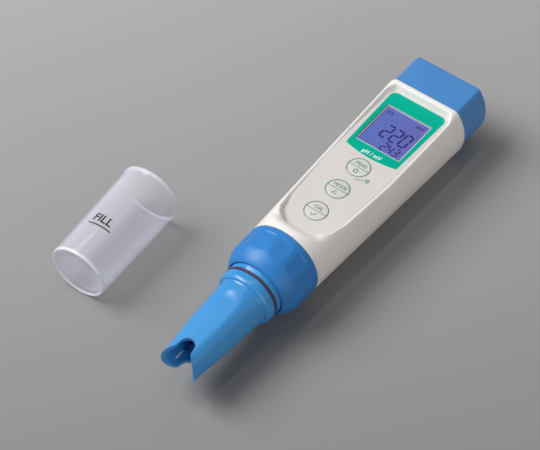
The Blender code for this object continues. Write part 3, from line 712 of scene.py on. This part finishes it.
def make_keys(white, green_ink, tree):
    legends = {"key_measure": "MEAS", "key_mode": "MODE", "key_calibrate": "CAL"}
    for name, y in KEY_Y.items():
        profile = [(0.01, KEY_TOP), (4.75, KEY_TOP), (4.88, KEY_TOP - 0.04), (4.96, KEY_TOP - 0.13),
                   (KEY_RADIUS, KEY_TOP - 0.3), (KEY_RADIUS, 7.6), (5.9, 7.6), (5.9, 6.9), (1.5, 6.9),
                   (1.5, 6.5), (0.01, 6.5)]
        cap = upright(name + "_cap", profile, (0.0, y))
        body = KEY_BODY[name]
        finish_piece(cap, name + "_cap", white, body, [name])
        ring = arc((0.0, y), KEY_LINE, 0.0, 360.0, 72)
        across = [(-KEY_LINE, y), (KEY_LINE, y)]
        outline = strokes(name + "_lines", [ring, across], 0.24, INK, KEY_TOP + 0.015, green_ink, tree)
        finish_piece(outline, name + "_lines", green_ink, body)
        words = lettering(name + "_word", legends[name], 2.4, (0.0, y + 1.75), KEY_TOP + 0.03, 0.0)
        finish_piece(words, name + "_word", green_ink, body)
        mark = strokes(name + "_mark", key_mark(name, y - 2.1), 0.34, INK, KEY_TOP + 0.03, green_ink, tree)
        finish_piece(mark, name + "_mark", green_ink, body)
    sun = (6.9, -3.4)
    rays = [[(sun[0] + r * math.cos(a), sun[1] + r * math.sin(a)) for r in (0.75, 1.15)]
            for a in np.arange(8) * math.pi / 4]
    lead = arc((1.2, 0.2), 5.6, -80.0, -45.0, 10)
    disc = arc(sun, 0.5, 0.0, 360.0, 20)
    lamp = strokes("lamp_mark", [disc, lead] + rays, 0.32, INK, FILM_TOP, green_ink, tree)
    finish_piece(lamp, "lamp_mark", green_ink, "meter")


def key_mark(name, y):
    """The plain signs in the lower halves of the keys: power, up and accept."""
    if name == "key_measure":
        return [arc((0.0, y), 0.95, 125.0, 415.0, 20), [(0.0, y + 0.1), (0.0, y + 1.25)]]
    if name == "key_mode":
        return [[(-1.1, y - 0.7), (1.1, y - 0.7), (0.0, y + 1.05), (-1.1, y - 0.7)]]
    return [[(-1.1, y + 0.1), (-0.3, y - 0.8), (1.2, y + 0.9)]]


def upright(name, profile, at, steps=96):
    """A solid turned about a line along Z from (radius, height above the axis) points."""
    angles = np.arange(steps) * 2 * math.pi / steps
    rings = [np.stack([at[0] + r * np.cos(angles), at[1] + r * np.sin(angles), np.full(steps, AXIS + z)], 1)
             for r, z in profile]
    return skin(name, rings)


SEGMENTS = {"a": ((0, 2), (1, 2)), "b": ((1, 2), (1, 1)), "c": ((1, 1), (1, 0)), "d": ((0, 0), (1, 0)),
            "e": ((0, 0), (0, 1)), "f": ((0, 1), (0, 2)), "g": ((0, 1), (1, 1))}
DIGITS = {"2": "abged", "0": "abcdef", "4": "fgbc", "3": "abgcd"}


def digit_paths(text, left, low, width, height, pitch, lean=0.10):
    """Seven-segment digits as separate short paths."""
    paths = []
    for place, letter in enumerate(text):
        for key in DIGITS[letter]:
            ends = np.array(SEGMENTS[key], float) * (width, height / 2) + (left + place * pitch, low)
            step = ends[1] - ends[0]
            trim = 0.30 * step / np.linalg.norm(step)
            paths.append([(x + lean * (y - low), y) for x, y in (ends[0] + trim, ends[1] - trim)])
    return paths


def make_display(crystal, digit_ink, frame_finish, lens, tree):
    cell = plate("crystal_cell", [rectangle(12.2, 10.8, 37.2, 0.3)], 7.0, 7.8)
    front = plate("crystal_front", [rectangle(10.28, 13.42, 35.48, 0.2)], 7.75, CRYSTAL_FACE)
    glass = merged("crystal_panel", [cell, front])
    finish_piece(glass, "crystal_panel", crystal, "meter", ["lcd_glass"])
    face = CRYSTAL_FACE
    main = digit_paths("220", -4.6, 20.2, 3.0, 7.2, 4.5)
    large = strokes("large_digits", main, 0.80, INK, face, digit_ink, tree)
    finish_piece(large, "large_digits", digit_ink, "meter")
    small = digit_paths("243", -0.2, 14.2, 1.9, 4.3, 2.9)
    point = [[(5.25, 14.2), (5.55, 14.2)]]
    little = strokes("small_digits", small + point, 0.58, INK, face, digit_ink, tree)
    finish_piece(little, "small_digits", digit_ink, "meter")
    battery = [[(-8.9, 32.4), (-6.6, 32.4), (-6.6, 33.5), (-8.9, 33.5), (-8.9, 32.4)],
               [(-6.4, 32.8), (-6.4, 33.1)]]
    unit = [[(5.4, 32.3), (5.4, 33.6)], [(5.4, 33.5), (6.2, 33.5), (6.2, 32.3)],
            [(6.2, 33.5), (7.0, 33.5), (7.0, 32.3)], [(7.6, 33.9), (8.1, 32.3), (8.6, 33.9)]]
    signs = strokes("display_signs", battery + unit, 0.36, INK, face, digit_ink, tree)
    finish_piece(signs, "display_signs", digit_ink, "meter")
    edges = [rectangle(10.95, 12.75, 35.68, 0.4), rectangle(10.3, 13.4, 35.5, 0.25)]
    surround = plate("display_surround", edges, 7.95, 9.3, 0.03)
    finish_piece(surround, "display_surround", frame_finish, "meter", ["display_frame"])
    pane = plate("window_pane", [rectangle(10.9, 12.8, 35.6, 0.4)], 9.35, 9.7, 0.04)
    finish_piece(pane, "window_pane", lens, "meter", ["display_window"])


# ---------------------------------------------------------------- cover, ring, probe, cup

def cover_ring(y, inset, front=None, at=None):
    angles = np.linspace(0.0, 2 * math.pi, 200, endpoint=False)
    radius = body_radius(min(y, BODY_TOP)) - inset
    limit = FRONT - inset if front is None else front
    x, z = section(angles, radius, limit, AXIS - inset, COVER_SOFT)
    return np.stack([x, np.full_like(x, y if at is None else at), z + AXIS], 1)


def make_cover(blue):
    """The hollow cover, whose narrow skirt slides into the case."""
    skirt = CEILING - 0.3
    narrow, outside, inside, round_off = 1.5, 0.7, 2.4, 1.0
    rings = [cover_ring(y, narrow, skirt) for y in (SKIRT_END, SHELF)]
    rings += [cover_ring(SHELF + 0.4, narrow), cover_ring(SHOULDER, narrow)]
    rings += [cover_ring(SHOULDER, outside + 0.2), cover_ring(SHOULDER + 0.2, outside)]
    bend = COVER_END - round_off
    rings += [cover_ring(float(y), outside) for y in np.linspace(SHOULDER + 1.0, bend, 12)]
    for turn in np.linspace(0.0, math.pi / 2, 9)[1:]:
        inset = outside + round_off * (1 - math.cos(turn))
        rings.append(cover_ring(bend, inset, at=bend + round_off * math.sin(turn)))
    deep = COVER_END - 1.5
    inner = [cover_ring(deep, 3.6), cover_ring(deep, 2.6), cover_ring(deep - 0.3, inside),
             cover_ring(SHELF + 1.5, inside), cover_ring(SHELF + 1.0, inside, skirt - 1.0),
             cover_ring(SKIRT_END, inside, skirt - 1.0)]
    count = len(rings[0])
    points = [tuple(p) for ring in rings + inner for p in ring]
    faces = []
    last_outer, first_inner = len(rings) - 1, len(rings)
    total = len(rings) + len(inner)
    pairs = [(i, i + 1) for i in range(last_outer)] + [(i, i + 1) for i in range(first_inner, total - 1)]
    pairs.append((total - 1, 0))
    for near, far in pairs:
        faces += belt(near, far, count)
    for ring, y in ((last_outer, COVER_END), (first_inner, deep)):
        points.append((0.0, y, AXIS))
        faces += fan(ring, len(points) - 1, count)
    cover = solid("battery_cover", points, faces)
    finish_piece(cover, "battery_cover", blue, "cover", ["top_cover"], 40.0)


def make_ring(blue):
    """The hollow ring, whose grip has twelve shallow flats with round lands between them."""
    steps = 360
    angles = np.arange(steps) * 2 * math.pi / steps
    edge = math.radians(30.0)
    turn = (angles + edge / 2) % edge - edge / 2
    flat = RING_FLAT / np.cos(edge / 2 - np.abs(turn))

    def outer(y, radius):
        fade = min(max((-50.9 - y) / 0.4, 0.0), 1.0) * min(max((y + 61.6) / 0.8, 0.0), 1.0)
        fade = fade * fade * (3 - 2 * fade)
        cut = np.minimum(radius, flat)
        return radius + (cut - radius) * fade

    profile = [(16.25, -48.35), (16.5, -48.45), (RING_RADIUS, -48.75)]
    profile += [(RING_RADIUS, float(y)) for y in np.linspace(-49.4, -59.0, 49)]
    profile += [(16.6, -59.6), (16.48, -60.3), (16.3, -61.0), (16.03, -61.8), (15.7, -62.6), (15.4, -63.35)]
    profile += [(15.05, -64.1), (14.65, -64.8), (14.2, -65.45), (13.75, -66.0), (13.35, -66.4),
                (13.05, -66.58), (12.85, -66.55), (12.75, -66.3)]
    inner = [(12.75, -63.3), (14.8, -63.3), (14.8, -48.6), (15.0, -48.35)]
    rings = []
    for radius, y in profile + inner:
        reach = outer(y, radius) if radius > 15.2 and y < -48.5 else np.full(steps, radius)
        rings.append(np.stack([reach * np.sin(angles), np.full(steps, y), AXIS + reach * np.cos(angles)], 1))
    ring = skin("grip_ring", rings, loop=True)
    finish_piece(ring, "grip_ring", blue, "retaining_ring", ["screw_ring"], 40.0)


def make_probe(blue):
    """The plug, the collar as wide as the spigot, and the hollow barrel with its flats and notched tip."""
    shoulder = [(10.9 + 1.5 * math.cos(math.radians(a)), -72.2 - 2.2 * math.sin(math.radians(a)))
                for a in range(0, 91, 9)]
    outer = [(8.5, -50.5), (11.8, -50.5), (11.9, -50.7), (11.9, -52.5), (10.8, -52.5), (10.8, -54.7)]
    outer += [(11.9, -54.7), (11.9, -60.3), (SPIGOT_RADIUS, -60.3), (SPIGOT_RADIUS, -62.9)]
    outer += [(12.4, -62.9), (12.4, -68.4), (12.3, -68.5), (11.45, -68.5), (11.45, -70.1), (12.3, -70.1),
              (12.4, -70.2)]
    outer += shoulder + [(10.75, -74.7), (10.65, -75.5)]
    outer += [(float(np.interp(y, [-114.5, -107.0, -95.0, -75.5], [7.9, 8.4, 9.6, 10.65])), float(y))
              for y in np.linspace(-77.0, -114.3, 26)]
    inner = [(7.75, -114.5), (6.7, -114.5), (6.6, -114.4), (6.6, -58.0), (8.5, -56.2)]
    steps = 160
    angles = np.arange(steps) * 2 * math.pi / steps
    rings = []
    for radius, y in outer + inner:
        limit = float(np.interp(y, [-114.5, -95.0, -81.0, -75.0], [7.5, 8.6, 9.7, 12.5]))
        x, z = radius * np.sin(angles), radius * np.cos(angles)
        if radius > 7.0:
            z = soft_limit(z, limit, 0.8)
            z = -soft_limit(-z, limit, 0.8)
        rings.append(np.stack([x, np.full(steps, y), z + AXIS], 1))
    probe = skin("probe_barrel", rings, loop=True)
    right = arc((0.0, -107.7), 3.2, 90.0, 0.0, 12)
    right += [(3.45, -109.4), (3.9, -110.3), (5.2, -111.6), (7.2, -113.2), (8.6, -114.2), (12.0, -116.0)]
    notch = right + [(-x, y) for x, y in reversed(right[1:])]
    carve(probe, plate("notch_cutter", [notch], -14.0, 14.0))
    finish_piece(probe, "probe_barrel", blue, "electrode", ["electrode_body"], 40.0)


def make_o_ring(name, node, middle, thick, y, finish):
    turn = np.arange(16) * 2 * math.pi / 16
    ring = turned(name, [(middle + thick * math.cos(a), y - thick * math.sin(a)) for a in turn])
    finish_piece(ring, name, finish, "electrode", [node])


def make_cup(clear, ink_black, tree):
    """The cup is made along +Y from its foot, then laid on its tapered side."""
    mouth = CUP_LENGTH
    profile = [(0.01, 0.5), (0.8, 0.5), (1.0, 0.25), (1.3, 0.25), (1.5, 0.5), (7.6, 0.5), (7.9, 0.62)]
    profile += [(8.2, 0.5), (11.2, 0.5), (11.45, 0.35), (11.55, 0.1), (11.75, 0.0), (12.1, 0.0),
                (12.35, 0.12), (12.5, 0.5)]
    profile += [(cup_radius(float(y)), float(y)) for y in np.linspace(1.5, mouth - 1.9, 16)]
    profile += [(13.57, mouth - 1.6), (13.7, mouth - 1.3), (13.7, mouth - 0.25), (13.6, mouth - 0.05),
                (13.4, mouth), (13.1, mouth), (12.9, mouth - 0.1), (12.8, mouth - 0.4), (12.7, mouth - 2.0)]
    profile += [(11.5, 2.4), (11.2, 1.7), (10.6, 1.5), (0.01, 1.5)]
    cup = turned("sample_cup", profile, (0.0, 0.0))
    cup.data.transform(cup_place())
    finish_piece(cup, "sample_cup", clear, "cup", ["measuring_cup"], 50.0)
    level = [(x, FILL_LEVEL) for x in np.linspace(-5.7, 5.2, 28)]
    line = strokes("fill_line", [level], 0.46, 0.06, 0.0, ink_black, tree)
    word = lettering("fill_word", "FILL", 5.2, (-0.7, FILL_LEVEL + 3.2), 0.0, 0.04, 0.06, 1.0)
    for item, name in ((line, "fill_line"), (word, "fill_word")):
        wrap_on_cup(item)
        item.data.transform(cup_place())
        finish_piece(item, name, ink_black, "cup")


def cup_radius(y):
    return float(np.interp(y, [0.0, CUP_LENGTH], [CUP_END_RADIUS, CUP_MOUTH_RADIUS - 0.25]))


def cup_place():
    foot = (CUP_FOOT[0] * MM, CUP_FOOT[1] * MM, CUP_END_RADIUS * math.cos(CUP_TILT) * MM)
    return Matrix.Translation(foot) @ Euler((CUP_TILT, 0.0, CUP_TURN)).to_matrix().to_4x4()


def wrap_on_cup(item):
    """Bend flat print round the outside of the cup."""
    for vertex in item.data.vertices:
        x, y, z = (c / MM for c in vertex.co)
        radius = cup_radius(y) + z - AXIS + PRINT_LIFT
        angle = x / PRINT_RADIUS
        vertex.co = (radius * math.sin(angle) * MM, y * MM, radius * math.cos(angle) * MM)


def make_springs(metal, tree):
    places = {1: (-11.3, 0.1), 2: (-5.75, -9.55), 3: (5.75, -9.55), 4: (11.3, 0.1)}
    for number, (x, z) in places.items():
        carrier = bpy.data.meshes.new("spring_seat")
        coil = grown(f"contact_spring_{number}", carrier, tree, {"Metal": metal}, (x, 6.15, AXIS + z))
        finish_piece(coil, f"contact_spring_{number}", metal, "meter", [f"battery_spring_{number}"])


# ---------------------------------------------------------------- studio

def make_studio(floor_finish):
    half = 3.0
    corners = [(-half, -half, 0.0), (half, -half, 0.0), (half, half, 0.0), (-half, half, 0.0)]
    floor = bpy.data.meshes.new("table_top")
    floor.from_pydata(corners, [], [(0, 1, 2, 3)])
    floor.materials.append(floor_finish)
    table = placed("table_top", floor)
    table.location.z = -0.0001
    world = bpy.data.worlds.new("studio")
    world.use_nodes = True
    world.node_tree.nodes["Background"].inputs["Color"].default_value = colour("C9CCD2")
    world.node_tree.nodes["Background"].inputs["Strength"].default_value = 0.32
    bpy.context.scene.world = world
    soft_box("key_light", (-0.58, -0.28, 0.78), (0.0, 0.0, 0.0), 0.6, 12.0, "FFFFFF")
    soft_box("strip_light", (-0.06, 0.42, 1.0), (-0.06, 0.42, 0.0), 0.025, 1.3, "FFEFE0", 1.6)
    soft_box("low_strip_light", (0.78, 0.38, 0.29), (-0.06, 0.38, 0.0), 0.025, 0.5, "FFE8D6", 1.4)
    soft_box("low_fill_light", (0.75, -0.48, 0.24), (0.0, 0.0, 0.0), 0.7, 2.4, "FFFFFF")


def soft_box(name, place, target, size, power, tint, length=None):
    """A square area light, or a strip of a length, turned towards a target."""
    light = bpy.data.lights.new(name, "AREA")
    light.size = size
    if length:
        light.shape = "RECTANGLE"
        light.size, light.size_y = length, size
    light.energy = power
    light.color = colour(tint)[:3]
    lamp = placed(name, light)
    lamp.location = place
    direction = [t - p for t, p in zip(target, place)]
    flat = math.hypot(direction[0], direction[1])
    heading = math.atan2(direction[1], direction[0]) - math.pi / 2
    lamp.rotation_euler = (math.atan2(flat, -direction[2]), 0.0, heading)


def make_camera():
    lens = bpy.data.cameras.new("camera")
    lens.lens = 137.06
    lens.sensor_width = 36.0
    lens.clip_end = 20.0
    eye = placed("camera", lens)
    eye.location = (0.3008, -0.4469, 0.6410)
    eye.rotation_euler = (math.radians(39.64), 0.0, math.radians(37.66))
    bpy.context.scene.camera = eye


def finish_kept_nodes():
    """Give the CAD nodes that stay their real finishes."""
    metal = drawn_metal("nickel_plated_steel", "B9B7B0", 0.28)
    board = circuit_board()
    black = moulded("moulded_epoxy_black", "1C1C1E", "18181A", 0.45, 0.3, 0.006)
    grey = moulded("moulded_nylon_grey", "8E9194", "888B8E", 0.48, 0.5, 0.01)
    milky = moulded("diffuser_acrylic", "EEF0F2", "E8EAEE", 0.5, 0.6, 0.004)
    glass = glass_stem("drawn_glass", "DCE6F2", 0.4)
    # Painted shade: the stem's glass is tinted dark blue so that it merges with the shade inside the probe.
    stem_glass_painted_shade = glass_stem("drawn_glass_painted_shade", "14304E", 0.3)
    finishes = {"backlight_panel": milky, "ribbon_cable": milky, "display_board": board, "main_board": board,
                "battery_contact_board": board, "processor_chip": black, "input_amplifier": black,
                "buzzer": black, "electrode_socket": black, "electrode_connector": black,
                "battery_cage": grey, "contact_carrier": grey, "carrier_contact_left": metal,
                "carrier_contact_right": metal,
                "cover_seal": nitrile_rubber("nitrile_black", "1A1A1A"), "reference_tube": glass,
                "sensor_stem": stem_glass_painted_shade, "platinum_pin": drawn_metal("drawn_platinum", "F2F1EE", 0.18),
                "signal_wire": drawn_metal("tinned_copper", "D0CFCB", 0.3),
                "reference_junction": moulded("porous_ceramic", "ECE8E0", "E0DBD0", 0.8, 0.2, 0.02),
                "sensor_holder": moulded("cast_epoxy_blue", "1C4F8E", "184884", 0.3, 0.8, 0.01)}
    for number in range(1, 5):
        finishes[f"battery_cell_{number}"] = CELL_SLEEVE
        finishes[f"board_screw_{number}"] = metal
    for number in range(1, 4):
        finishes[f"key_switch_{number}"] = black
    for node, finish in finishes.items():
        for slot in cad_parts[node].material_slots:
            slot.link = "OBJECT"
            slot.material = finish
    return metal


make_camera()
CELL_SLEEVE = cell_sleeve()
METAL = finish_kept_nodes()
STROKES = stroke_tree()
WHITE = abs_white()
GREEN_INK = ink("screen_ink_green", "0E7F69")
make_case(WHITE)
make_front(film_white(), film_green(), ink("screen_ink_white", "EDF3F0"))
make_keys(film_white(), GREEN_INK, STROKES)
BEZEL_GREY = moulded("moulded_bezel_grey", "C9C6D2", "C2BFCC", 0.5, 0.5, 0.01)
make_display(make_display_material(), ink("crystal_segment", "2A2866"), BEZEL_GREY, lens_clear(), STROKES)
make_cover(abs_cover_blue())
make_ring(abs_ring_blue())
make_probe(polycarbonate_blue())
DARK_RED, NEAR_BLACK = nitrile_rubber("nitrile_dark_red", "5C2A2C"), nitrile_rubber("nitrile_dark", "161616")
make_o_ring("probe_seal", "probe_o_ring", 12.2, 0.38, -69.3, DARK_RED)
make_o_ring("connector_seal", "plug_o_ring", 11.45, 0.55, -53.6, NEAR_BLACK)
make_cup(clear_polystyrene(), ink("screen_ink_black", "0B0D11"), STROKES)
make_springs(METAL, coil_tree())
make_studio(table_top())
bpy.context.scene.view_settings.view_transform = "Standard"
